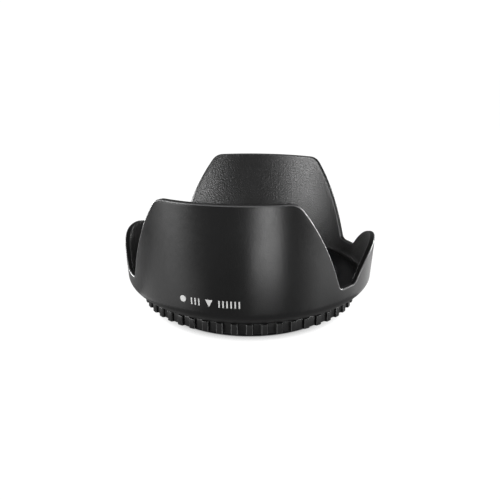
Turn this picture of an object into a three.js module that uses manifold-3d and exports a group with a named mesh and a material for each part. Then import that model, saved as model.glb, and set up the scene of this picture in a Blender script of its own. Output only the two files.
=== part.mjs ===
// Petal lens hood that screws into a 58 mm filter thread, standing on that thread with its mouth up.
// Millimetres. +Z is the optical axis, from the lens towards the subject, and the origin is the centre
// of the thread's end face. The two wide petals face -Y and +Y, and the two short ones -X and +X.
// The mount ring screws into the lens. The shade turns on its neck, so that the petals can be lined up
// with the picture, and the knurled lock ring then clamps the shade's floor against the mount's flange.
import * as THREE from 'three';
import { mergeVertices } from 'three/addons/utils/BufferGeometryUtils.js';
import Module from 'manifold-3d';

const CLEARANCE = 0.3;

// Mount ring: a thin barrel with the lens thread at its end and a flange at its front.
const FILTER_THREAD_RADIUS = 29;
const FILTER_THREAD_PITCH = 0.75;
const FILTER_THREAD_DEPTH = 0.41;
const FILTER_THREAD_TURNS = 3;
const THREAD_LEAD_IN = 0.2;
const THREAD_BORE_RADIUS = 27.7;
const LENS_SEAT_Z = 2.5;
const BARREL_RADIUS = 31;
const BARREL_BORE_RADIUS = 28.4;
const BORE_STEP_Z = 3.6;
const EDGE_CHAMFER = 0.4;
const MOUNT_FLANGE_RADIUS = 34.4;
const MOUNT_FLANGE_THICKNESS = 1.2;

// Lock ring: a castellated collar on the barrel's coarse thread.
const LOCK_RING_BOTTOM_Z = 3;
const LOCK_RING_HEIGHT = 3.1;
const TOOTH_TIP_RADIUS = 33.9;
const TOOTH_DEPTH = 0.8;
const TOOTH_COUNT = 50;
const TOOTH_TIP_SHARE = 0.4;
const TOOTH_ROOT_SHARE = 0.5;
const TOOTH_PHASE_DEG = 2.5;

// Slip washer: keyed to the barrel, so that the turning collar doesn't drag the shade round.
const WASHER_THICKNESS = 0.5;
const WASHER_RADIUS = 33.4;
const KEY_WIDTH = 3;
const KEY_INNER_RADIUS = 30;
const KEY_OUTER_RADIUS = 32.4;

// Shade: a bowl with a floor that the barrel passes through, and a thin wall cut into petals.
const SKIRT_RADIUS = 34.35;
const SKIRT_DEPTH = 0.45;
const SKIRT_WALL = 0.65;
const FLOOR_THICKNESS = 1.6;
const SHOULDER_TOP_Z = 11.4;
const SHOULDER_RADIUS = 38.6;
const SHOULDER_CURVE = new THREE.Vector2(38.44, 8.8);
const RIM_RADIUS = 40.46;
const RIM_Z = 41.4;
const WALL_THICKNESS = 1.6;
const FLOOR_CORNER = 2.35;

// Petal outline, unrolled: distance along the wall from a wide petal's middle, measured on this radius.
const OUTLINE_RADIUS = 39;
const WIDE_PETAL_FLAT = 16.3;
const WIDE_PETAL_CORNER = new THREE.Vector2(18.7, RIM_Z);
const WIDE_PETAL_SHOULDER = new THREE.Vector2(20.2, 39.5);
const WIDE_PETAL_BULGE = new THREE.Vector2(27.8, 29.85);
const WIDE_PETAL_FOOT = new THREE.Vector2(33.9, 15.8);
const NOTCH_Z = 14.6;
const NOTCH_START = 36.3;
const NOTCH_END = 40.6;
const SHORT_PETAL_FOOT = new THREE.Vector2(42.9, 16);
const SHORT_PETAL_CURVE = 49.3;
const SHORT_PETAL_Z = 23.7;
const OUTLINE_STEPS = 32;

const ROUND_STEPS = 72;
const SHOULDER_STEPS = 6;
const CORNER_STEPS = 4;
const WELD_TOLERANCE = 1e-4;

const lockRingTop = LOCK_RING_BOTTOM_Z + LOCK_RING_HEIGHT;
const washerBottom = lockRingTop + CLEARANCE;
const floorBottom = washerBottom + WASHER_THICKNESS + CLEARANCE;
const floorTop = floorBottom + FLOOR_THICKNESS;
const mountFlangeBottom = floorTop + CLEARANCE;
const mountFlangeTop = mountFlangeBottom + MOUNT_FLANGE_THICKNESS;
const keySlotInnerRadius = KEY_INNER_RADIUS - CLEARANCE;

const point = (radius, z) => new THREE.Vector2(radius, z);
const polar = (radius, angle) => new THREE.Vector2(radius * Math.cos(angle), radius * Math.sin(angle));
const plastic = (color, roughness) => new THREE.MeshStandardMaterial({ color, roughness, metalness: 0 });

// A closed outline of (radius, z) points turned about the optical axis.
function turned(outline, steps = ROUND_STEPS) {
  const closed = [...outline, outline[0]];
  const geometry = new THREE.LatheGeometry(closed, steps);
  return geometry.rotateX(Math.PI / 2);
}

function ringOutline(innerRadius, outerRadius, bottom, top) {
  return [
    point(innerRadius, bottom),
    point(outerRadius, bottom),
    point(outerRadius, top),
    point(innerRadius, top),
  ];
}

const wasm = await Module();
wasm.setup();

function toManifold(geometry) {
  const bare = geometry.clone();
  bare.deleteAttribute('normal');
  bare.deleteAttribute('uv');
  const merged = mergeVertices(bare, WELD_TOLERANCE);
  const vertProperties = new Float32Array(merged.attributes.position.array);
  const triVerts = new Uint32Array(merged.index.array);
  return new wasm.Manifold(new wasm.Mesh({ numProp: 3, vertProperties, triVerts }));
}

function fromManifold(solid) {
  const mesh = solid.getMesh();
  const geometry = new THREE.BufferGeometry();
  geometry.setAttribute('position', new THREE.BufferAttribute(mesh.vertProperties, 3));
  geometry.setIndex(new THREE.BufferAttribute(mesh.triVerts, 1));
  geometry.computeVertexNormals();
  return geometry;
}

// The lens thread's crests and roots, from the end face up to a plain stretch at the lens seat.
function filterThreadOutline() {
  const root = FILTER_THREAD_RADIUS - FILTER_THREAD_DEPTH;
  const outline = [point(root, 0)];
  for (let turn = 0; turn < FILTER_THREAD_TURNS; turn += 1) {
    const start = THREAD_LEAD_IN + turn * FILTER_THREAD_PITCH;
    outline.push(point(root, start));
    outline.push(point(FILTER_THREAD_RADIUS, start + FILTER_THREAD_PITCH / 2));
  }
  outline.push(point(FILTER_THREAD_RADIUS, LENS_SEAT_Z));
  return outline;
}

function mountRingGeometry() {
  const profile = [
    ...filterThreadOutline(),
    point(BARREL_RADIUS, LENS_SEAT_Z),
    point(BARREL_RADIUS, mountFlangeBottom),
    point(MOUNT_FLANGE_RADIUS, mountFlangeBottom),
    point(MOUNT_FLANGE_RADIUS, mountFlangeTop - EDGE_CHAMFER),
    point(MOUNT_FLANGE_RADIUS - EDGE_CHAMFER, mountFlangeTop),
    point(BARREL_BORE_RADIUS + EDGE_CHAMFER, mountFlangeTop),
    point(BARREL_BORE_RADIUS, mountFlangeTop - EDGE_CHAMFER),
    point(BARREL_BORE_RADIUS, BORE_STEP_Z),
    point(THREAD_BORE_RADIUS, BORE_STEP_Z),
    point(THREAD_BORE_RADIUS, 0),
  ];
  let solid = toManifold(turned(profile));
  const slotDepth = 2 * (BARREL_RADIUS - keySlotInnerRadius);
  const slotBottom = LENS_SEAT_Z - CLEARANCE;
  const slotHeight = floorBottom - slotBottom;
  for (const side of [-1, 1]) {
    const slot = new THREE.BoxGeometry(slotDepth, KEY_WIDTH + 2 * CLEARANCE, slotHeight);
    slot.translate(side * (keySlotInnerRadius + slotDepth / 2), 0, slotBottom + slotHeight / 2);
    solid = solid.subtract(toManifold(slot));
  }
  return fromManifold(solid);
}

function lockRingGeometry() {
  const outline = [];
  const pitch = (2 * Math.PI) / TOOTH_COUNT;
  const phase = THREE.MathUtils.degToRad(TOOTH_PHASE_DEG - 90);
  for (let tooth = 0; tooth < TOOTH_COUNT; tooth += 1) {
    const middle = phase + tooth * pitch;
    const tip = (TOOTH_TIP_SHARE * pitch) / 2;
    const root = (TOOTH_ROOT_SHARE * pitch) / 2;
    outline.push(polar(TOOTH_TIP_RADIUS - TOOTH_DEPTH, middle - root));
    outline.push(polar(TOOTH_TIP_RADIUS, middle - tip));
    outline.push(polar(TOOTH_TIP_RADIUS, middle + tip));
    outline.push(polar(TOOTH_TIP_RADIUS - TOOTH_DEPTH, middle + root));
  }
  const shape = new THREE.Shape(outline);
  const bore = new THREE.Path();
  bore.absarc(0, 0, BARREL_RADIUS + CLEARANCE, 0, 2 * Math.PI, true);
  shape.holes.push(bore);
  const geometry = new THREE.ExtrudeGeometry(shape, {
    depth: LOCK_RING_HEIGHT,
    bevelEnabled: false,
    curveSegments: ROUND_STEPS,
  });
  return geometry.translate(0, 0, LOCK_RING_BOTTOM_Z);
}

function slipWasherGeometry() {
  const washerBore = BARREL_RADIUS + CLEARANCE;
  let solid = toManifold(
    turned(ringOutline(washerBore, WASHER_RADIUS, washerBottom, washerBottom + WASHER_THICKNESS)),
  );
  const keyLength = KEY_OUTER_RADIUS - KEY_INNER_RADIUS;
  for (const side of [-1, 1]) {
    const key = new THREE.BoxGeometry(keyLength, KEY_WIDTH, WASHER_THICKNESS);
    key.translate(
      side * (KEY_INNER_RADIUS + keyLength / 2),
      0,
      washerBottom + WASHER_THICKNESS / 2,
    );
    solid = solid.add(toManifold(key));
  }
  return fromManifold(solid);
}

// Where the line from a point through another one, carried on, meets the notch's floor.
function meetsNotchFloor(from, through) {
  const along = (NOTCH_Z - from.y) / (through.y - from.y);
  return new THREE.Vector2().lerpVectors(from, through, along);
}

// A quarter of the rim, from a wide petal's middle to a short petal's middle, as (distance, z).
function rimQuarter() {
  const wideCorner = meetsNotchFloor(WIDE_PETAL_BULGE, WIDE_PETAL_FOOT);
  const shortCrown = new THREE.Vector2(SHORT_PETAL_CURVE, SHORT_PETAL_Z);
  const shortCorner = meetsNotchFloor(shortCrown, SHORT_PETAL_FOOT);
  const path = new THREE.Path();
  path.moveTo(0, RIM_Z);
  path.lineTo(WIDE_PETAL_FLAT, RIM_Z);
  path.quadraticCurveTo(
    WIDE_PETAL_CORNER.x, WIDE_PETAL_CORNER.y, WIDE_PETAL_SHOULDER.x, WIDE_PETAL_SHOULDER.y,
  );
  path.quadraticCurveTo(
    WIDE_PETAL_BULGE.x, WIDE_PETAL_BULGE.y, WIDE_PETAL_FOOT.x, WIDE_PETAL_FOOT.y,
  );
  path.quadraticCurveTo(wideCorner.x, wideCorner.y, NOTCH_START, NOTCH_Z);
  path.lineTo(NOTCH_END, NOTCH_Z);
  path.quadraticCurveTo(shortCorner.x, shortCorner.y, SHORT_PETAL_FOOT.x, SHORT_PETAL_FOOT.y);
  const quarterTurn = (OUTLINE_RADIUS * Math.PI) / 2;
  path.quadraticCurveTo(shortCrown.x, shortCrown.y, quarterTurn, SHORT_PETAL_Z);
  return path.getSpacedPoints(OUTLINE_STEPS);
}

// The whole rim as { angle, z } once round, angle counted from -Y towards +X.
function rimColumns() {
  const quarter = rimQuarter().map((p) => ({ angle: p.x / OUTLINE_RADIUS, z: p.y }));
  const back = quarter.slice(0, -1).reverse().map(({ angle, z }) => ({ angle: Math.PI - angle, z }));
  const half = [...quarter, ...back];
  const rest = half.slice(1).map(({ angle, z }) => ({ angle: angle + Math.PI, z }));
  return [...half, ...rest];
}

function outerWallRadius(z) {
  return THREE.MathUtils.mapLinear(z, SHOULDER_TOP_Z, RIM_Z, SHOULDER_RADIUS, RIM_RADIUS);
}

function petalShadeGeometry() {
  const shoulder = new THREE.QuadraticBezierCurve(
    point(SKIRT_RADIUS, floorBottom - SKIRT_DEPTH), SHOULDER_CURVE, point(SHOULDER_RADIUS, SHOULDER_TOP_Z),
  );
  const innerShoulderRadius = SHOULDER_RADIUS - WALL_THICKNESS;
  const floorCorner = new THREE.QuadraticBezierCurve(
    point(innerShoulderRadius, SHOULDER_TOP_Z),
    point(innerShoulderRadius, floorTop),
    point(innerShoulderRadius - FLOOR_CORNER, floorTop),
  );
  const neckRadius = BARREL_RADIUS + CLEARANCE;
  const profile = [
    ...shoulder.getPoints(SHOULDER_STEPS),
    point(RIM_RADIUS, RIM_Z),
    point(RIM_RADIUS - WALL_THICKNESS, RIM_Z),
    ...floorCorner.getPoints(CORNER_STEPS),
    point(neckRadius, floorTop),
    point(neckRadius, floorBottom),
    point(SKIRT_RADIUS - SKIRT_WALL, floorBottom),
    point(SKIRT_RADIUS - SKIRT_WALL, floorBottom - SKIRT_DEPTH),
  ];
  const columns = rimColumns();
  const geometry = turned(profile, columns.length - 1);
  const position = geometry.attributes.position;
  const rows = position.count / columns.length;
  for (let i = 0; i < position.count; i += 1) {
    const column = columns[Math.floor(i / rows)];
    let radius = Math.hypot(position.getX(i), position.getY(i));
    let z = position.getZ(i);
    if (z > SHOULDER_TOP_Z + CLEARANCE) {
      radius += outerWallRadius(column.z) - RIM_RADIUS;
      z = column.z;
    }
    position.setXYZ(i, radius * Math.sin(column.angle), -radius * Math.cos(column.angle), z);
  }
  geometry.computeVertexNormals();
  return geometry;
}

const hood = new THREE.Group();

function addPart(name, geometry, material) {
  const mesh = new THREE.Mesh(geometry, material);
  mesh.name = name;
  hood.add(mesh);
}

const anodised = new THREE.MeshStandardMaterial({ color: 0x1b1b1c, roughness: 0.45, metalness: 0.8 });

addPart('mount_ring', mountRingGeometry(), anodised);
addPart('lock_ring', lockRingGeometry(), plastic(0x242425, 0.5));
addPart('slip_washer', slipWasherGeometry(), plastic(0x3a3a3a, 0.6));
addPart('petal_shade', petalShadeGeometry(), plastic(0x262627, 0.45));

export default hood;
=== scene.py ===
"""Petal lens hood: the looks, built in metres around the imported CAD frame."""
import math

import bpy
import numpy as np
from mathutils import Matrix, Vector


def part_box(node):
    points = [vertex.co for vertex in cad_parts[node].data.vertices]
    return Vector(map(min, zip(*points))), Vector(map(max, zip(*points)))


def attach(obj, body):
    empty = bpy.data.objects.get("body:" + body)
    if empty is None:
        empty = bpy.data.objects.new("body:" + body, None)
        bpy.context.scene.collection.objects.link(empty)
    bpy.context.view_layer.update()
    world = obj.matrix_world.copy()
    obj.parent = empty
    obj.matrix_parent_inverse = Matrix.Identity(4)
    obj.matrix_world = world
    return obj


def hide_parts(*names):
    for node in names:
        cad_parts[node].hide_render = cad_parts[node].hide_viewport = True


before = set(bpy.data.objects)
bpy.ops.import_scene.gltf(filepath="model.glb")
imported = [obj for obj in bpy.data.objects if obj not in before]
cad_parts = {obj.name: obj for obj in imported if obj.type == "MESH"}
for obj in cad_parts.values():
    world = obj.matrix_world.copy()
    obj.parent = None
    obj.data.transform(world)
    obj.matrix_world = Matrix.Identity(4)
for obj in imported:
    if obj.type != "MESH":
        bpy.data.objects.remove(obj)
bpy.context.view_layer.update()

MM = 0.001

# ---------------------------------------------------------------- sizes from the frame, in millimetres
shade_low, shade_high = (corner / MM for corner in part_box("petal_shade"))
mount_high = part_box("mount_ring")[1] / MM
collar_low, collar_high = (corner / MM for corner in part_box("lock_ring"))
washer_low, washer_high = (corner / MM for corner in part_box("slip_washer"))

CLEARANCE = 0.3
WALL = 1.6
FLOOR_THICKNESS = 1.6
RIM_RADIUS = shade_high.y
RIM_Z = shade_high.z
SKIRT_Z = shade_low.z
FLOOR_BOTTOM_Z = washer_high.z + CLEARANCE
FLOOR_TOP_Z = FLOOR_BOTTOM_Z + FLOOR_THICKNESS
SHOULDER = (38.6, 11.4)
SHOULDER_PULL = (38.44, 8.8)
SKIRT_RADIUS = 34.35
SKIRT_WALL = 0.65
FLOOR_CORNER = 2.35
BARREL_RADIUS = 31
NECK_RADIUS = BARREL_RADIUS + CLEARANCE
OUTLINE_RADIUS = 39

# ---------------------------------------------------------------- mesh helpers


def smooth_by_angle(piece, degrees):
    piece.data.shade_smooth()
    piece.data.set_sharp_from_angle(angle=math.radians(degrees))


def wrapped_grid(name, points, materials, kinds=0, sharp=32):
    """A closed surface through points[column][row], both ways round, in millimetres.

    kinds says which of the materials a face has: one number, one for each row, or one for each face.
    """
    columns, rows, _ = points.shape
    index = np.arange(columns * rows).reshape(columns, rows)
    right = np.roll(index, -1, axis=0)
    quads = np.stack([index, right, np.roll(right, -1, axis=1), np.roll(index, -1, axis=1)], axis=-1)
    corners = points.reshape(-1, 3)
    flat = quads.reshape(-1, 4)
    a, b, c = corners[flat[:, 0]], corners[flat[:, 1]], corners[flat[:, 2]]
    if np.einsum("ij,ij->i", a, np.cross(b - a, c - a)).sum() < 0:
        flat = flat[:, ::-1]
    mesh = bpy.data.meshes.new(name)
    mesh.from_pydata((corners * MM).tolist(), [], flat.tolist())
    piece = bpy.data.objects.new(name, mesh)
    bpy.context.scene.collection.objects.link(piece)
    for material in materials:
        mesh.materials.append(material)
    of_face = np.broadcast_to(kinds, (columns, rows)).ravel()
    mesh.polygons.foreach_set("material_index", of_face.astype(np.int32))
    smooth_by_angle(piece, sharp)
    return piece


def quadratic(start, pull, end, steps):
    """Points of a quadratic curve, its last point left out."""
    t = np.linspace(0, 1, steps, endpoint=False)[:, None]
    start, pull, end = (np.array(p, float) for p in (start, pull, end))
    return (1 - t) ** 2 * start + 2 * t * (1 - t) * pull + t ** 2 * end


def straight(start, end, steps):
    """Points of a straight line, its last point left out."""
    t = np.linspace(0, 1, steps, endpoint=False)[:, None]
    start, end = np.array(start, float), np.array(end, float)
    return start + (end - start) * t


def around(angle, radius, z):
    """Points at an angle counted from -Y towards +X."""
    angle, radius, z = np.broadcast_arrays(angle, radius, z)
    return np.stack([radius * np.sin(angle), -radius * np.cos(angle), z], axis=-1)


def quarter_turn(start, end, steps):
    """Cosines and sines of the angles from start to end degrees, for a rounded edge."""
    turns = np.radians(np.linspace(start, end, steps))
    return zip(np.cos(turns), np.sin(turns))


# ---------------------------------------------------------------- petal shade

WIDE_FLAT = 16.3
WIDE_CORNER = (18.7, RIM_Z)
WIDE_SHOULDER = (20.2, 39.5)
WIDE_BULGE = (27.8, 29.85)
WIDE_FOOT = (33.9, 15.8)
NOTCH_Z = 14.6
NOTCH_START = 36.3
NOTCH_END = 40.6
SHORT_FOOT = (42.9, 16.0)
SHORT_CROWN = (49.3, 23.7)
RIM_EDGE_OUTER = 0.45
RIM_EDGE_INNER = 0.3
RIM_BAND = 1.1
SKIRT_EDGE = 0.12
WALL_ROWS = 18
OUTSIDE, INSIDE, PAINTED_HIGHLIGHT = range(3)


def meets_notch_floor(start, through):
    """Where the line from start through the second point comes to the notch's floor."""
    along = (NOTCH_Z - start[1]) / (through[1] - start[1])
    return (start[0] + (through[0] - start[0]) * along, NOTCH_Z)


def rim_outline():
    """The rim once round, as (distance along the wall, z), with the unit vectors that point into the wall."""
    quarter_way = OUTLINE_RADIUS * math.pi / 2
    quarter = np.concatenate([
        straight((0, RIM_Z), (WIDE_FLAT, RIM_Z), 20),
        quadratic((WIDE_FLAT, RIM_Z), WIDE_CORNER, WIDE_SHOULDER, 12),
        quadratic(WIDE_SHOULDER, WIDE_BULGE, WIDE_FOOT, 34),
        quadratic(WIDE_FOOT, meets_notch_floor(WIDE_BULGE, WIDE_FOOT), (NOTCH_START, NOTCH_Z), 10),
        straight((NOTCH_START, NOTCH_Z), (NOTCH_END, NOTCH_Z), 5),
        quadratic((NOTCH_END, NOTCH_Z), meets_notch_floor(SHORT_CROWN, SHORT_FOOT), SHORT_FOOT, 8),
        quadratic(SHORT_FOOT, SHORT_CROWN, (quarter_way, SHORT_CROWN[1]), 26),
    ])
    crown = np.array([[quarter_way, SHORT_CROWN[1]]])
    mirrored = quarter[:0:-1] * (-1, 1) + (2 * quarter_way, 0)
    half = np.concatenate([quarter, crown, mirrored])
    whole = np.concatenate([half, half + (2 * quarter_way, 0)])
    turn = np.array([4 * quarter_way, 0])
    before = np.vstack([whole[-1] - turn, whole[:-1]])
    after = np.vstack([whole[1:], whole[0] + turn])
    along = after - before
    inward = np.stack([along[:, 1], -along[:, 0]], axis=-1)
    return whole, inward / np.linalg.norm(inward, axis=1)[:, None]


def outer_radius(z):
    """The leaning outer wall's radius."""
    lean = (RIM_RADIUS - SHOULDER[0]) / (RIM_Z - SHOULDER[1])
    return SHOULDER[0] + (z - SHOULDER[1]) * lean


def petal_shade(outside, inside, highlight_paint):
    """The moulding once round its section: skirt, outer wall, rim, inner wall, floor and neck."""
    outline, inward = rim_outline()
    distance, rim = outline[:, 0], outline[:, 1]
    rows = []
    kinds = []

    def level(radius, z, kind):
        rows.append(around(distance / OUTLINE_RADIUS, radius, z))
        kinds.append(kind)

    def below_rim(inset, depth, kind):
        s = distance + inward[:, 0] * depth
        z = rim + inward[:, 1] * depth
        rows.append(around(s / OUTLINE_RADIUS, outer_radius(z) - inset, z))
        kinds.append(kind)

    def wall(inset, shares, kind):
        for share in shares:
            s = distance + inward[:, 0] * RIM_BAND * share
            z = SHOULDER[1] + (rim + inward[:, 1] * RIM_BAND - SHOULDER[1]) * share
            rows.append(around(s / OUTLINE_RADIUS, outer_radius(z) - inset, z))
            kinds.append(kind)

    inner_shoulder = SHOULDER[0] - WALL
    floor_edge = inner_shoulder - FLOOR_CORNER
    skirt_inner = SKIRT_RADIUS - SKIRT_WALL
    skirt_turn = (SKIRT_RADIUS + SKIRT_EDGE, SKIRT_Z + 0.8 * SKIRT_EDGE)
    for radius, z in quadratic((SKIRT_RADIUS - SKIRT_EDGE, SKIRT_Z), (SKIRT_RADIUS, SKIRT_Z), skirt_turn, 4):
        level(radius, z, OUTSIDE)
    for radius, z in quadratic(skirt_turn, SHOULDER_PULL, SHOULDER, 22):
        level(radius, z, OUTSIDE)
    wall(0, np.linspace(0, 1, WALL_ROWS), OUTSIDE)
    # The rim's rounded edges take the lighter material: a painted highlight along the rim.
    for step, (cos, sin) in enumerate(quarter_turn(0, 90, 9)):
        kind = PAINTED_HIGHLIGHT if 1 <= step <= 6 else OUTSIDE
        below_rim(RIM_EDGE_OUTER * (1 - cos), RIM_EDGE_OUTER * (1 - sin), kind)
    for step, (cos, sin) in enumerate(quarter_turn(0, 90, 7)):
        kind = PAINTED_HIGHLIGHT if 2 <= step <= 4 else INSIDE
        below_rim(WALL - RIM_EDGE_INNER * (1 - sin), RIM_EDGE_INNER * (1 - cos), kind)
    wall(WALL, np.linspace(1, 0, WALL_ROWS), INSIDE)
    for radius, z in quadratic((inner_shoulder, SHOULDER[1]), (inner_shoulder, FLOOR_TOP_Z),
                               (floor_edge, FLOOR_TOP_Z), 10)[1:]:
        level(radius, z, INSIDE)
    for radius, z in straight((floor_edge, FLOOR_TOP_Z), (NECK_RADIUS, FLOOR_TOP_Z), 3):
        level(radius, z, INSIDE)
    level(NECK_RADIUS, FLOOR_TOP_Z, INSIDE)
    level(NECK_RADIUS, FLOOR_BOTTOM_Z, INSIDE)
    level(skirt_inner, FLOOR_BOTTOM_Z, INSIDE)
    level(skirt_inner, SKIRT_Z, OUTSIDE)
    return wrapped_grid("shade_moulding", np.stack(rows, axis=1), (outside, inside, highlight_paint), kinds)


# ---------------------------------------------------------------- collar

TOOTH_COUNT = 50
TOOTH_PHASE = math.radians(2.5)
TOOTH_TIP_RADIUS = collar_high.y
TOOTH_DEPTH = 0.8
TOOTH_TIP_SHARE = 0.4
TOOTH_ROOT_SHARE = 0.5
TOOTH_CORNER = 0.016
COLUMNS_PER_TOOTH = 28
COLLAR_EDGE = 0.22
CORNER_HIGHLIGHT_REACH = (0.03, 0.02)
FLANK_REACH = 0.01
BODY, CORNER, FLANK = range(3)


def rounded_step(x, start, end, softness):
    """0 before start, 1 after end, with rounded corners."""
    t = (x - start) / (end - start)
    soft = softness / (end - start)
    low = np.sqrt(t * t + soft * soft)
    high = np.sqrt((1 - t) ** 2 + soft * soft)
    return np.clip(0.5 + 0.5 * (low - high), 0, 1)


def collar(body, highlight_paint, flank):
    """The castellated ring: rounded teeth, a soft edge above and below, and a plain bore."""
    columns = TOOTH_COUNT * COLUMNS_PER_TOOTH
    angle = np.arange(columns) / columns * 2 * math.pi
    pitch = 2 * math.pi / TOOTH_COUNT
    from_middle = np.abs((angle - TOOTH_PHASE + pitch / 2) % pitch - pitch / 2) / pitch
    root = rounded_step(from_middle, TOOTH_TIP_SHARE / 2, TOOTH_ROOT_SHARE / 2, TOOTH_CORNER)
    radius = TOOTH_TIP_RADIUS - TOOTH_DEPTH * root
    bottom, top = collar_low.z, collar_high.z
    lower, upper = [], []
    for cos, sin in quarter_turn(15, 90, 5):
        inset = COLLAR_EDGE * (1 - sin)
        rise = COLLAR_EDGE * (1 - cos)
        lower.append(around(angle, radius - inset, bottom + rise))
        upper.append(around(angle, radius - inset, top - rise))
    under = [
        around(angle, NECK_RADIUS + COLLAR_EDGE, bottom),
        around(angle, radius - COLLAR_EDGE, bottom),
    ]
    over = [
        around(angle, radius - COLLAR_EDGE, top),
        around(angle, NECK_RADIUS + COLLAR_EDGE, top),
    ]
    bore = [around(angle, NECK_RADIUS, z) for z in np.linspace(top - COLLAR_EDGE, bottom + COLLAR_EDGE, 4)]
    rows = under + lower + upper[::-1] + over + bore
    # Tooth corners take a lighter material, a painted highlight; the side walls between teeth take a
    # near-black one, painted shade.
    in_tip = from_middle < TOOTH_TIP_SHARE / 2 + CORNER_HIGHLIGHT_REACH[1]
    at_corner = in_tip & (from_middle > TOOTH_TIP_SHARE / 2 - CORNER_HIGHLIGHT_REACH[0])
    on_flank = ~in_tip & (from_middle < TOOTH_ROOT_SHARE / 2 + FLANK_REACH)
    face = slice(len(under), len(under + lower + upper))
    kinds = np.full((columns, len(rows)), BODY)
    kinds[:, face] = np.select([at_corner, on_flank], [CORNER, FLANK], BODY)[:, None]
    return wrapped_grid("collar", np.stack(rows, axis=1), (body, highlight_paint, flank), kinds, sharp=40)


# ---------------------------------------------------------------- mount ring and washer

FILTER_THREAD_RADIUS = 29
FILTER_THREAD_PITCH = 0.75
FILTER_THREAD_DEPTH = 0.41
FILTER_THREAD_TOP_Z = 2.3
THREAD_CHAMFER = 0.1
THREAD_STEP = 0.05
LENS_SEAT_Z = 2.5
SEAT_CHAMFER = 0.15
THREAD_BORE = 27.7
BARREL_BORE = 28.4
BORE_STEP_Z = 3.6
BORE_STEP = 0.4
BORE_CHAMFER = 0.2
KEY_WIDTH = 3
KEY_SLOT_RADIUS = 29.7
BAFFLE_DEPTH = 0.3
BAFFLE_COUNT = 7
BAFFLES_BELOW_TOP = 0.9
BAFFLES_ABOVE_STEP = 0.5
KEY_NUDGE = 1e-4
FLANGE_EDGE = 0.25
WASHER_EDGE = 0.08


def key_columns(half_width, columns=432):
    """Angles once round, with two columns close together at each edge of the keys on +X and -X."""
    angles = list(np.arange(columns) / columns * 2 * math.pi)
    for middle in (math.pi / 2, 3 * math.pi / 2):
        for side in (-1, 1):
            for nudge in (-KEY_NUDGE, KEY_NUDGE):
                angles.append(middle + side * half_width + nudge)
    angles = np.array(sorted(angles))
    from_middle = np.minimum(np.abs(angles - math.pi / 2), np.abs(angles - 3 * math.pi / 2))
    in_key = from_middle < half_width
    return angles, in_key


def mount_ring(material):
    """The turned ring once round its section: end face, thread, seat, barrel, flange and bore."""
    slot_half = math.asin((KEY_WIDTH / 2 + CLEARANCE) / BARREL_RADIUS)
    angle, in_slot = key_columns(slot_half)
    top = mount_high.z
    flange_bottom = FLOOR_TOP_Z + CLEARANCE
    flange = mount_high.y
    rows = []

    def level(radius, z):
        rows.append(around(angle, radius, z))

    def barrel(z, inset=0.0):
        level(np.where(in_slot, KEY_SLOT_RADIUS, BARREL_RADIUS - inset), z)

    def thread(root):
        for z in np.arange(THREAD_CHAMFER + THREAD_STEP, FILTER_THREAD_TOP_Z, THREAD_STEP):
            along = (z / FILTER_THREAD_PITCH - angle / (2 * math.pi)) % 1
            crest = np.clip(1.25 - 2.7 * np.abs(along - 0.5), 0, 1)
            start = np.clip((z - THREAD_CHAMFER) / 0.3, 0, 1)
            end = np.clip((FILTER_THREAD_TOP_Z - z) / 0.15, 0, 1)
            level(root + FILTER_THREAD_DEPTH * crest * start * end, z)

    root = FILTER_THREAD_RADIUS - FILTER_THREAD_DEPTH
    level(THREAD_BORE + BORE_CHAMFER, 0.0)
    level(root - THREAD_CHAMFER, 0.0)
    level(root, THREAD_CHAMFER)
    thread(root)
    level(root, FILTER_THREAD_TOP_Z)
    level(FILTER_THREAD_RADIUS, LENS_SEAT_Z)
    barrel(LENS_SEAT_Z, SEAT_CHAMFER)
    barrel(LENS_SEAT_Z + SEAT_CHAMFER)
    barrel(FLOOR_BOTTOM_Z)
    level(BARREL_RADIUS, FLOOR_BOTTOM_Z)
    level(BARREL_RADIUS, flange_bottom)
    level(flange - FLANGE_EDGE, flange_bottom)
    for cos, sin in quarter_turn(0, 90, 4):
        level(flange - FLANGE_EDGE * (1 - cos), top - FLANGE_EDGE * (1 - sin))
    for share in (0.35, 0.7):
        level(flange + (BARREL_BORE - flange) * share, top)
    for cos, sin in quarter_turn(90, 0, 4):
        level(BARREL_BORE + FLANGE_EDGE * (1 - cos), top - FLANGE_EDGE * (1 - sin))
    baffle_top, baffle_bottom = top - BAFFLES_BELOW_TOP, BORE_STEP_Z + BAFFLES_ABOVE_STEP
    pitch = (baffle_top - baffle_bottom) / BAFFLE_COUNT
    for baffle in range(BAFFLE_COUNT):
        start = baffle_top - baffle * pitch
        level(BARREL_BORE, start)
        level(BARREL_BORE + BAFFLE_DEPTH, start - 0.35 * pitch)
        level(BARREL_BORE, start - 0.8 * pitch)
    level(BARREL_BORE, BORE_STEP_Z)
    level(THREAD_BORE, BORE_STEP_Z - BORE_STEP)
    level(THREAD_BORE, BORE_CHAMFER)
    return wrapped_grid("mount_ring_turned", np.stack(rows, axis=1), (material,), sharp=24)


def slip_washer(material):
    """A flat ring with a key on each side that reaches into the barrel's slots."""
    key_half = math.asin(KEY_WIDTH / 2 / BARREL_RADIUS)
    angle, in_key = key_columns(key_half)
    bottom, top = washer_low.z, washer_high.z
    key_radius = KEY_SLOT_RADIUS + CLEARANCE
    inner = np.where(in_key, key_radius, NECK_RADIUS)
    outer = washer_high.y
    rows = [
        around(angle, inner, bottom),
        around(angle, outer - WASHER_EDGE, bottom),
        around(angle, outer, bottom + WASHER_EDGE),
        around(angle, outer, top - WASHER_EDGE),
        around(angle, outer - WASHER_EDGE, top),
        around(angle, inner, top),
    ]
    return wrapped_grid("washer_disc", np.stack(rows, axis=1), (material,), sharp=30)


# ---------------------------------------------------------------- index marks

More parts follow.
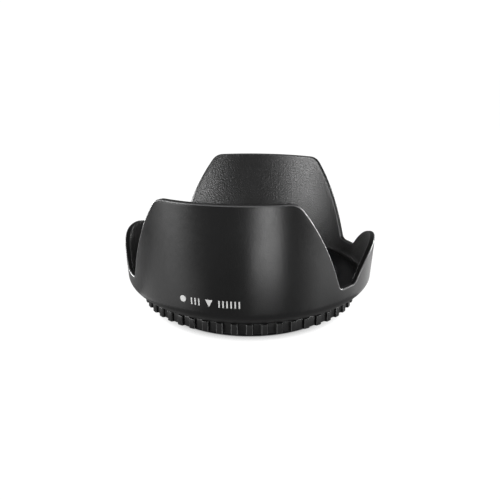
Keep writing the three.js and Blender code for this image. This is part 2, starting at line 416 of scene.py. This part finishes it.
MARK_LIFT = 0.02
MARK_SINK = 0.05
MARK_ROWS = 5
MARK_TOP = 15.1
MARK_BOTTOM = 13.1
DOT_MIDDLE = (-17.7, 14.3)
DOT_RADIUS = 0.95
ARROW_MIDDLE = -6.38
ARROW_HALF_WIDTH = 1.55
ARROW_HALF_POINT = 0.1
TICK_HALF_WIDTH = 0.28
TICK_PITCH = 1.6


def mark(name, outline, material):
    """A thin patch of paint on the wall. The outline is two rails of (degrees, z), top and bottom."""
    upper, lower = (np.array(rail, float) for rail in outline)
    down = np.linspace(0, 1, MARK_ROWS)[None, :, None]
    face = upper[:, None, :] * (1 - down) + lower[:, None, :] * down
    angle = np.radians(face[..., 0])
    z = face[..., 1]
    front = around(angle, outer_radius(z) + MARK_LIFT, z)
    back = around(angle, outer_radius(z) - MARK_SINK, z)
    columns, rows, _ = front.shape
    points = np.concatenate([front.reshape(-1, 3), back.reshape(-1, 3)])
    index = np.arange(columns * rows).reshape(columns, rows)
    faces = []
    for i in range(columns - 1):
        for j in range(rows - 1):
            a, b, c, d = index[i, j], index[i + 1, j], index[i + 1, j + 1], index[i, j + 1]
            faces.append((a, d, c, b))
            faces.append(tuple(v + columns * rows for v in (a, b, c, d)))
    ring = [index[i, 0] for i in range(columns)]
    ring += [index[columns - 1, j] for j in range(1, rows)]
    ring += [index[i, rows - 1] for i in range(columns - 2, -1, -1)]
    ring += [index[0, j] for j in range(rows - 2, 0, -1)]
    for first, second in zip(ring, ring[1:] + ring[:1]):
        faces.append((first, second, second + columns * rows, first + columns * rows))
    mesh = bpy.data.meshes.new(name)
    mesh.from_pydata((points * MM).tolist(), [], [tuple(int(v) for v in f) for f in faces])
    mesh.materials.append(material)
    piece = bpy.data.objects.new(name, mesh)
    bpy.context.scene.collection.objects.link(piece)
    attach(piece, "shade")


def ticks(side, first, count, material):
    """A row of upright ticks, the first of them at the angle first, in degrees."""
    for place in range(count):
        across = first + TICK_PITCH * place + np.linspace(-TICK_HALF_WIDTH, TICK_HALF_WIDTH, 5)
        rails = ([(a, MARK_TOP) for a in across], [(a, MARK_BOTTOM) for a in across])
        mark(f"index_tick_{side}_{place}", rails, material)


def dot(name, material):
    angle, z = DOT_MIDDLE
    sweep = np.linspace(-1, 1, 15)
    wide = math.degrees(DOT_RADIUS / OUTLINE_RADIUS)
    tall = DOT_RADIUS * np.sqrt(np.clip(1 - sweep ** 2, 0.01, 1))
    upper = [(angle + wide * t, z + h) for t, h in zip(sweep, tall)]
    lower = [(angle + wide * t, z - h) for t, h in zip(sweep, tall)]
    mark(name, (upper, lower), material)


def arrow(name, material):
    """A triangle that points down, to the collar."""
    sweep = np.linspace(-1, 1, 9)
    upper = [(ARROW_MIDDLE + ARROW_HALF_WIDTH * t, MARK_TOP) for t in sweep]
    lower = [(ARROW_MIDDLE + ARROW_HALF_POINT * t, MARK_BOTTOM) for t in sweep]
    mark(name, (upper, lower), material)


# ---------------------------------------------------------------- materials


class Shader:
    """A small wrapper that adds nodes to one material."""

    def __init__(self, name):
        self.material = bpy.data.materials.new(name)
        self.material.use_nodes = True
        self.tree = self.material.node_tree
        self.principled = self.tree.nodes["Principled BSDF"]
        self.place = self.add("ShaderNodeTexCoord").outputs["Object"]

    def add(self, kind, **settings):
        node = self.tree.nodes.new(kind)
        for key, value in settings.items():
            setattr(node, key, value)
        return node

    def link(self, source, target):
        self.tree.links.new(source, target)

    def noise(self, scale, detail=4, roughness=0.55):
        node = self.add("ShaderNodeTexNoise")
        node.inputs["Scale"].default_value = scale
        node.inputs["Detail"].default_value = detail
        node.inputs["Roughness"].default_value = roughness
        self.link(self.place, node.inputs["Vector"])
        return node.outputs["Fac"]

    def ramp(self, value, low, high, start, end):
        """Maps value from low..high to start..end."""
        node = self.add("ShaderNodeMapRange")
        for key, number in zip(("From Min", "From Max", "To Min", "To Max"), (low, high, start, end)):
            node.inputs[key].default_value = number
        self.link(value, node.inputs["Value"])
        return node.outputs["Result"]

    def math(self, operation, a, b=0):
        node = self.add("ShaderNodeMath", operation=operation)
        for socket, value in zip(node.inputs, (a, b)):
            if isinstance(value, (int, float)):
                socket.default_value = value
            else:
                self.link(value, socket)
        return node.outputs["Value"]

    def mix_colour(self, factor, first, second):
        node = self.add("ShaderNodeMix", data_type="RGBA")
        self.link(factor, node.inputs["Factor"])
        for key, colour in (("A", first), ("B", second)):
            socket = [s for s in node.inputs if s.name == key and s.type == "RGBA"][0]
            if isinstance(colour, tuple):
                socket.default_value = (*colour, 1)
            else:
                self.link(colour, socket)
        return [s for s in node.outputs if s.type == "RGBA"][0]

    def bump(self, height, strength, distance, below=None):
        node = self.add("ShaderNodeBump")
        node.inputs["Strength"].default_value = strength
        node.inputs["Distance"].default_value = distance
        self.link(height, node.inputs["Height"])
        if below is not None:
            self.link(below, node.inputs["Normal"])
        return node.outputs["Normal"]

    def convex_edges(self, low, high):
        """1 on convex edges and 0 elsewhere, from the mesh's own curvature."""
        pointiness = self.add("ShaderNodeNewGeometry").outputs["Pointiness"]
        return self.ramp(pointiness, low, high, 0, 1)


def moulded_plastic(name, base, roughness, specular, grain, grain_scale, draw=0.0, depth=0.00006):
    """Black moulded plastic: fine spark-eroded grain, slow tone and gloss variation, lighter edges (rubbed
    wear and painted highlight).

    grain is the bump's strength and depth its height in metres. draw is how much the gloss is drawn out
    along the axis, the way the tool pulls off the part.
    """
    s = Shader(name)
    s.principled.inputs["Specular IOR Level"].default_value = specular
    if draw:
        tangent = s.add("ShaderNodeTangent", direction_type="RADIAL", axis="Z")
        s.link(tangent.outputs["Tangent"], s.principled.inputs["Tangent"])
        s.principled.inputs["Anisotropic"].default_value = draw
        s.principled.inputs["Anisotropic Rotation"].default_value = 0.25
    slow = s.noise(45, 3)
    fine = s.noise(900, 5, 0.6)
    darker, lighter = (tuple(share * c for c in base) for share in (0.86, 1.14))
    tone = s.mix_colour(s.ramp(slow, 0.3, 0.7, 0, 1), darker, lighter)
    # Convex edges a little lighter: partly rubbed wear, partly a painted highlight along the edges.
    lighter_edges = s.math("MULTIPLY", s.convex_edges(0.53, 0.62), s.ramp(fine, 0.35, 0.65, 0.25, 0.5))
    tone = s.mix_colour(lighter_edges, tone, tuple(min(1, 3.2 * c) for c in base))
    s.link(tone, s.principled.inputs["Base Color"])
    gloss = s.math("ADD", s.ramp(slow, 0.3, 0.7, roughness - 0.03, roughness + 0.03),
                   s.ramp(fine, 0.3, 0.7, -0.03, 0.03))
    s.link(gloss, s.principled.inputs["Roughness"])
    coarse = s.noise(grain_scale, 2, 0.5)
    normal = s.bump(coarse, grain, depth)
    normal = s.bump(fine, grain * 0.5, 0.00002, normal)
    s.link(normal, s.principled.inputs["Normal"])
    return s.material


def anodised(name):
    """Black anodised aluminium with fine turning marks round the axis."""
    s = Shader(name)
    s.principled.inputs["Metallic"].default_value = 0.75
    s.principled.inputs["Specular IOR Level"].default_value = 0.4
    split = s.add("ShaderNodeSeparateXYZ")
    s.link(s.place, split.inputs["Vector"])
    squares = s.math("ADD", s.math("MULTIPLY", split.outputs["X"], split.outputs["X"]),
                     s.math("MULTIPLY", split.outputs["Y"], split.outputs["Y"]))
    radius = s.math("SQRT", squares)
    rings = s.add("ShaderNodeCombineXYZ")
    s.link(radius, rings.inputs["X"])
    s.link(split.outputs["Z"], rings.inputs["Z"])
    turning = s.add("ShaderNodeTexNoise")
    turning.inputs["Scale"].default_value = 9000
    turning.inputs["Detail"].default_value = 2
    s.link(rings.outputs["Vector"], turning.inputs["Vector"])
    slow = s.noise(60, 3)
    tone = s.mix_colour(s.ramp(slow, 0.3, 0.7, 0, 1), (0.016, 0.016, 0.018), (0.03, 0.03, 0.033))
    lighter_edges = s.math("MULTIPLY", s.convex_edges(0.54, 0.62), s.ramp(slow, 0.3, 0.7, 0.1, 0.6))
    tone = s.mix_colour(lighter_edges, tone, (0.16, 0.16, 0.165))
    s.link(tone, s.principled.inputs["Base Color"])
    s.link(s.ramp(turning.outputs["Fac"], 0.3, 0.7, 0.3, 0.46), s.principled.inputs["Roughness"])
    s.link(s.bump(turning.outputs["Fac"], 0.25, 0.00002), s.principled.inputs["Normal"])
    return s.material


def paint(name):
    """White pad-printed ink, a little thin and uneven."""
    s = Shader(name)
    s.principled.inputs["Roughness"].default_value = 0.55
    s.principled.inputs["Specular IOR Level"].default_value = 0.3
    blotch = s.noise(700, 4)
    s.link(s.mix_colour(s.ramp(blotch, 0.3, 0.7, 0, 1), (0.37, 0.37, 0.366), (0.46, 0.46, 0.455)),
           s.principled.inputs["Base Color"])
    s.link(s.bump(blotch, 0.3, 0.00001), s.principled.inputs["Normal"])
    return s.material


# ---------------------------------------------------------------- the pieces

shade_outside = moulded_plastic("shade_outside", (0.006, 0.006, 0.0061), 0.32, 0.3, 0.3, 2600, draw=0.6)
shade_inside = moulded_plastic("shade_inside", (0.008, 0.008, 0.0081), 0.4, 0.5, 1.0, 2200, depth=0.00012)
# Rounded rim edges: a lighter copy of the plastic, a painted highlight.
shade_painted_highlight = moulded_plastic("shade_painted_highlight", (0.06, 0.06, 0.061), 0.4, 0.4, 0.2, 2600)
collar_plastic = moulded_plastic("collar_plastic", (0.01, 0.01, 0.0101), 0.36, 0.3, 0.3, 2600)
# Tooth corners: a lighter copy of the plastic, a painted highlight.
collar_painted_highlight = moulded_plastic("collar_painted_highlight", (0.05, 0.05, 0.0505), 0.35, 0.4, 0.2, 2600)
# Tooth side walls: a near-black copy of the plastic, painted shade between the teeth.
collar_flank_painted_shade = moulded_plastic("collar_flank_painted_shade", (0.002, 0.002, 0.002), 0.6, 0.1, 0.2, 2600)
washer_plastic = moulded_plastic("washer_plastic", (0.05, 0.05, 0.052), 0.5, 0.4, 0.1, 2000)
mount_metal = anodised("mount_metal")
index_paint = paint("index_paint")

shade = petal_shade(shade_outside, shade_inside, shade_painted_highlight)
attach(shade, "shade")
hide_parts("petal_shade")

ring = collar(collar_plastic, collar_painted_highlight, collar_flank_painted_shade)
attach(ring, "collar")
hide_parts("lock_ring")

mount = mount_ring(mount_metal)
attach(mount, "mount")
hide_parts("mount_ring")

washer = slip_washer(washer_plastic)
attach(washer, "washer")
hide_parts("slip_washer")

dot("index_dot", index_paint)
ticks("left", -13.8, 3, index_paint)
arrow("index_arrow", index_paint)
ticks("right", -2.2, 6, index_paint)

# ---------------------------------------------------------------- stage, lights and camera


def area_light(name, place, rotation, size, power):
    light = bpy.data.lights.new(name, "AREA")
    light.shape = "RECTANGLE"
    light.size, light.size_y = size
    light.energy = power
    lamp = bpy.data.objects.new(name, light)
    lamp.location = place
    lamp.rotation_euler = rotation
    bpy.context.scene.collection.objects.link(lamp)


TABLE_RADIUS = 1.5
TABLE_BEND = 0.15
TABLE_WALL = 0.42
TABLE_COLUMNS = 96
TABLE_GLOW = 1.02
# Reach and depth of the painted contact shadow in the table's glow.
CONTACT_REACH = 0.0036
CONTACT_GLOW = 0.35


def light_table():
    """A round, pale, softly glowing table that bends up into a low wall all the way round."""
    flat = TABLE_RADIUS - TABLE_BEND
    profile = [(0.02, 0.0), (0.5, 0.0), (flat, 0.0)]
    for cos, sin in quarter_turn(10, 90, 9):
        profile.append((flat + TABLE_BEND * sin, TABLE_BEND * (1 - cos)))
    profile.append((TABLE_RADIUS, TABLE_WALL))
    angle = np.arange(TABLE_COLUMNS) / TABLE_COLUMNS * 2 * math.pi
    points = np.stack([around(angle, r, z) for r, z in profile], axis=1).reshape(-1, 3)
    rows = len(profile)
    faces = [tuple(i * rows for i in range(TABLE_COLUMNS))]
    for i in range(TABLE_COLUMNS):
        for j in range(rows - 1):
            here, right = i * rows + j, (i + 1) % TABLE_COLUMNS * rows + j
            faces.append((here, here + 1, right + 1, right))
    mesh = bpy.data.meshes.new("table")
    mesh.from_pydata(points.tolist(), [], faces)
    mesh.materials.append(acrylic("table_acrylic"))
    piece = bpy.data.objects.new("table", mesh)
    bpy.context.scene.collection.objects.link(piece)
    piece.data.shade_smooth()
    piece.visible_diffuse = False
    piece.visible_glossy = False


def acrylic(name):
    """White glowing acrylic, with a painted soft shadow where something stands on it: ambient occlusion dims
    its glow.
    """
    s = Shader(name)
    s.principled.inputs["Roughness"].default_value = 0.9
    s.principled.inputs["Specular IOR Level"].default_value = 0.1
    s.principled.inputs["Emission Color"].default_value = (1, 1, 1, 1)
    painted_contact_shadow = s.add("ShaderNodeAmbientOcclusion", samples=16)
    painted_contact_shadow.inputs["Distance"].default_value = CONTACT_REACH
    glow = s.ramp(painted_contact_shadow.outputs["AO"], 0.1, 0.6, CONTACT_GLOW * TABLE_GLOW, TABLE_GLOW)
    s.link(glow, s.principled.inputs["Emission Strength"])
    tone = s.mix_colour(s.noise(6, 2), (0.028, 0.028, 0.028), (0.032, 0.032, 0.032))
    s.link(tone, s.principled.inputs["Base Color"])
    return s.material


CAMERA_AZIMUTH = math.radians(9.71)
CAMERA_DISTANCE = 0.18174
CAMERA_HEIGHT = 0.07385 + collar_low.z * MM
CAMERA_PITCH = 0.3201
CAMERA_PAN = 0.0011
FOCAL_PIXELS = 592.6
FRAME_PIXELS = 500
SENSOR = 36
PANEL_HEIGHT = 0.0015
STRIP_REACH = 0.5
STRIP_WIDTH = 0.2
STRIP_HEIGHT = 0.13
STRIP_LIFT = 0.01


def around_camera(side, forward, height):
    """A place given across, along and above the camera's line of sight, with the object at the origin."""
    across = Vector((math.cos(CAMERA_AZIMUTH), math.sin(CAMERA_AZIMUTH), 0))
    along = Vector((-math.sin(CAMERA_AZIMUTH), math.cos(CAMERA_AZIMUTH), 0))
    return across * side + along * forward + Vector((0, 0, height))


light_table()

camera_data = bpy.data.cameras.new("camera")
camera_data.sensor_width = SENSOR
camera_data.lens = FOCAL_PIXELS / FRAME_PIXELS * SENSOR
camera_data.clip_start = 0.01
camera = bpy.data.objects.new("camera", camera_data)
camera.location = around_camera(0, -CAMERA_DISTANCE, CAMERA_HEIGHT)
camera.rotation_euler = (math.pi / 2 - CAMERA_PITCH, 0, CAMERA_AZIMUTH - CAMERA_PAN)
bpy.context.scene.collection.objects.link(camera)
bpy.context.scene.camera = camera


def strip_light(name, azimuth, power):
    """An upright soft light standing on the table, azimuth degrees to the right of the camera."""
    turn = math.radians(azimuth)
    height = STRIP_HEIGHT / 2 + STRIP_LIFT
    place = around_camera(STRIP_REACH * math.sin(turn), -STRIP_REACH * math.cos(turn), height)
    inward = (around_camera(0, 0, height) - place).to_track_quat("-Z", "Y").to_euler()
    area_light(name, place, inward, (STRIP_WIDTH, STRIP_HEIGHT), power)


def table_panel(name, band, gap, length, width, power, behind=False):
    """A light panel lying on the table, facing up. It runs out from the wall at the angle band, counted from
    the camera's side, in the direction in which the wall mirrors the camera there. One behind the object
    does the same for a viewer at the back."""
    turn = math.radians(band)
    reach = gap + length / 2
    side = RIM_RADIUS * MM * math.sin(turn) + reach * math.sin(2 * turn)
    forward = -RIM_RADIUS * MM * math.cos(turn) - reach * math.cos(2 * turn)
    if behind:
        side, forward = -side, -forward
    facing_up = (math.pi, 0, CAMERA_AZIMUTH + 2 * turn)
    area_light(name, around_camera(side, forward, PANEL_HEIGHT), facing_up, (width, length), power)


strip_light("left_strip", -62, 3.2)
strip_light("right_strip", 60, 3.0)
strip_light("left_back_strip", -118, 3.0)
strip_light("right_back_strip", 122, 3.0)
table_panel("left_panel", -38, 0.008, 0.36, 0.05, 0.05)
table_panel("right_panel", 42, 0.02, 0.34, 0.045, 0.07)
table_panel("front_panel", 7.4, 0.042, 0.38, 0.032, 0.42)
table_panel("left_edge_panel", -64, 0.025, 0.34, 0.05, 0.004)
table_panel("right_edge_panel", 64, 0.008, 0.34, 0.05, 0.04)
table_panel("back_panel", 7, 0.04, 0.38, 0.022, 0.55, behind=True)


def studio_world(below, above):
    """Even light from under the horizon, where the table glows, and from over it."""
    world = bpy.data.worlds.new("studio")
    world.use_nodes = True
    nodes, links = world.node_tree.nodes, world.node_tree.links
    place = nodes.new("ShaderNodeTexCoord")
    split = nodes.new("ShaderNodeSeparateXYZ")
    links.new(place.outputs["Generated"], split.inputs["Vector"])
    strength = nodes.new("ShaderNodeMapRange")
    for key, number in zip(("From Min", "From Max", "To Min", "To Max"), (-0.05, 0.05, below, above)):
        strength.inputs[key].default_value = number
    links.new(split.outputs["Z"], strength.inputs["Value"])
    links.new(strength.outputs["Result"], nodes["Background"].inputs["Strength"])
    nodes["Background"].inputs["Color"].default_value = (1, 1, 1, 1)
    bpy.context.scene.world = world


studio_world(0.2, 0.12)
bpy.context.scene.view_settings.view_transform = "Standard"
